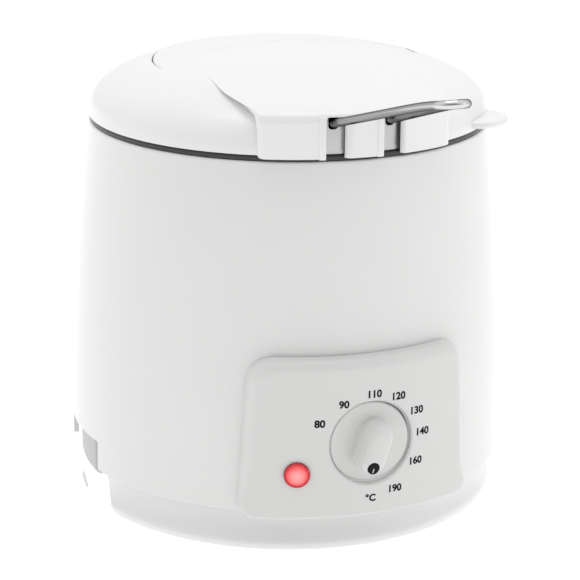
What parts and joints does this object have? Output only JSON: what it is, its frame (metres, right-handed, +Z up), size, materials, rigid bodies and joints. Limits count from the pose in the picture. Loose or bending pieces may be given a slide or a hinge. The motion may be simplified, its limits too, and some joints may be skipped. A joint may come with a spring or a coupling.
{
  "type": "deep fryer",
  "caption": "Small white deep fryer with a domed lift-off lid, front temperature dial, neon lamp and a lift-out basket on a chrome wire handle.",
  "frame": {"origin": "centre of the flat plinth on the underside of the base, on the barrel's axis; the rubber feet reach 1.5 mm below it", "axes": "+Z up along the barrel's axis, -Y out of the control panel and along the basket handle, +X to the right of someone facing the dial"},
  "size_m": [0.2102, 0.2988, 0.2305],
  "materials": {
    "white_gloss": "moulded white, glossy",
    "white_satin": "moulded white, satin",
    "rubber_grey": "moulded rubber",
    "zinc_steel": "zinc-plated steel",
    "element_sheath": "heat-tinted steel sheath",
    "black_plastic": "black moulded plastic",
    "phenolic_brown": "brown phenolic",
    "brass": "turned brass",
    "red_lens": "clear red lens",
    "lamp_glass": "clear glass",
    "non_stick": "dark non-stick coating",
    "aluminium_sheet": "pressed sheet",
    "filter_foam": "open-cell carbon foam",
    "silicone_grey": "silicone rubber",
    "chrome_wire": "bright chrome"
  },
  "bodies": {
    "base": {"outer_housing": "white_gloss", "base_pan": "white_gloss", "control_panel": "white_gloss", "cord_outlet_box": "white_satin", "terminal_block": "white_satin", "rubber_foot_1": "rubber_grey", "rubber_foot_2": "rubber_grey", "rubber_foot_3": "rubber_grey", "rubber_foot_4": "rubber_grey", "base_screw_1": "zinc_steel", "base_screw_2": "zinc_steel", "base_screw_3": "zinc_steel", "base_screw_4": "zinc_steel", "thermostat_bracket": "zinc_steel", "thermostat_screw_1": "zinc_steel", "thermostat_screw_2": "zinc_steel", "neon_clip": "zinc_steel", "element_clamp_plate": "zinc_steel", "clamp_nut": "zinc_steel", "bridge_nut": "zinc_steel", "support_bridge": "zinc_steel", "bridge_screw_1": "zinc_steel", "bridge_screw_2": "zinc_steel", "heating_element": "element_sheath", "thermal_cutout": "black_plastic", "cord_gland": "black_plastic", "thermostat_body": "phenolic_brown", "sensor_bulb": "brass", "capillary_tube": "brass", "neon_lens": "red_lens", "neon_lamp": "lamp_glass", "oil_bowl": "non_stick", "heat_reflector": "aluminium_sheet"},
    "dial": {"control_knob": "white_gloss", "knob_pointer": "black_plastic", "thermostat_shaft": "brass"},
    "basket": {"basket": "chrome_wire", "basket_rim_wire": "chrome_wire", "drain_rest": "chrome_wire", "handle_bracket": "zinc_steel"},
    "handle": {"basket_handle": "chrome_wire"},
    "lid": {"lid_shell": "white_gloss", "vent_cover": "white_gloss", "lid_baffle": "aluminium_sheet", "steam_filter": "filter_foam", "lid_seal": "silicone_grey", "baffle_screw_1": "zinc_steel", "baffle_screw_2": "zinc_steel", "baffle_screw_3": "zinc_steel"}
  },
  "joints": [
    {"name": "dial_turn", "type": "hinge", "parent": "base", "child": "dial", "pos_m": [0, -0.1081, 0.0548], "axis": [0, 1, 0], "range_deg": [0, 315]},
    {"name": "basket_lift", "type": "slide", "parent": "base", "child": "basket", "axis": [0, 0, 1], "range_m": [0, 0.125]},
    {"name": "lid_lift", "type": "slide", "parent": "basket", "child": "lid", "axis": [0, 0, 1], "range_m": [0, 0.38]},
    {"name": "handle_fold", "type": "hinge", "parent": "basket", "child": "handle", "pos_m": [0, -0.074, 0.1931], "axis": [-1, 0, 0], "range_deg": [0, 165]}
  ],
  "couplings": [
    {"joint": "handle_fold", "follows": "lid_lift", "rad_per_m": 7.5779}
  ]
}
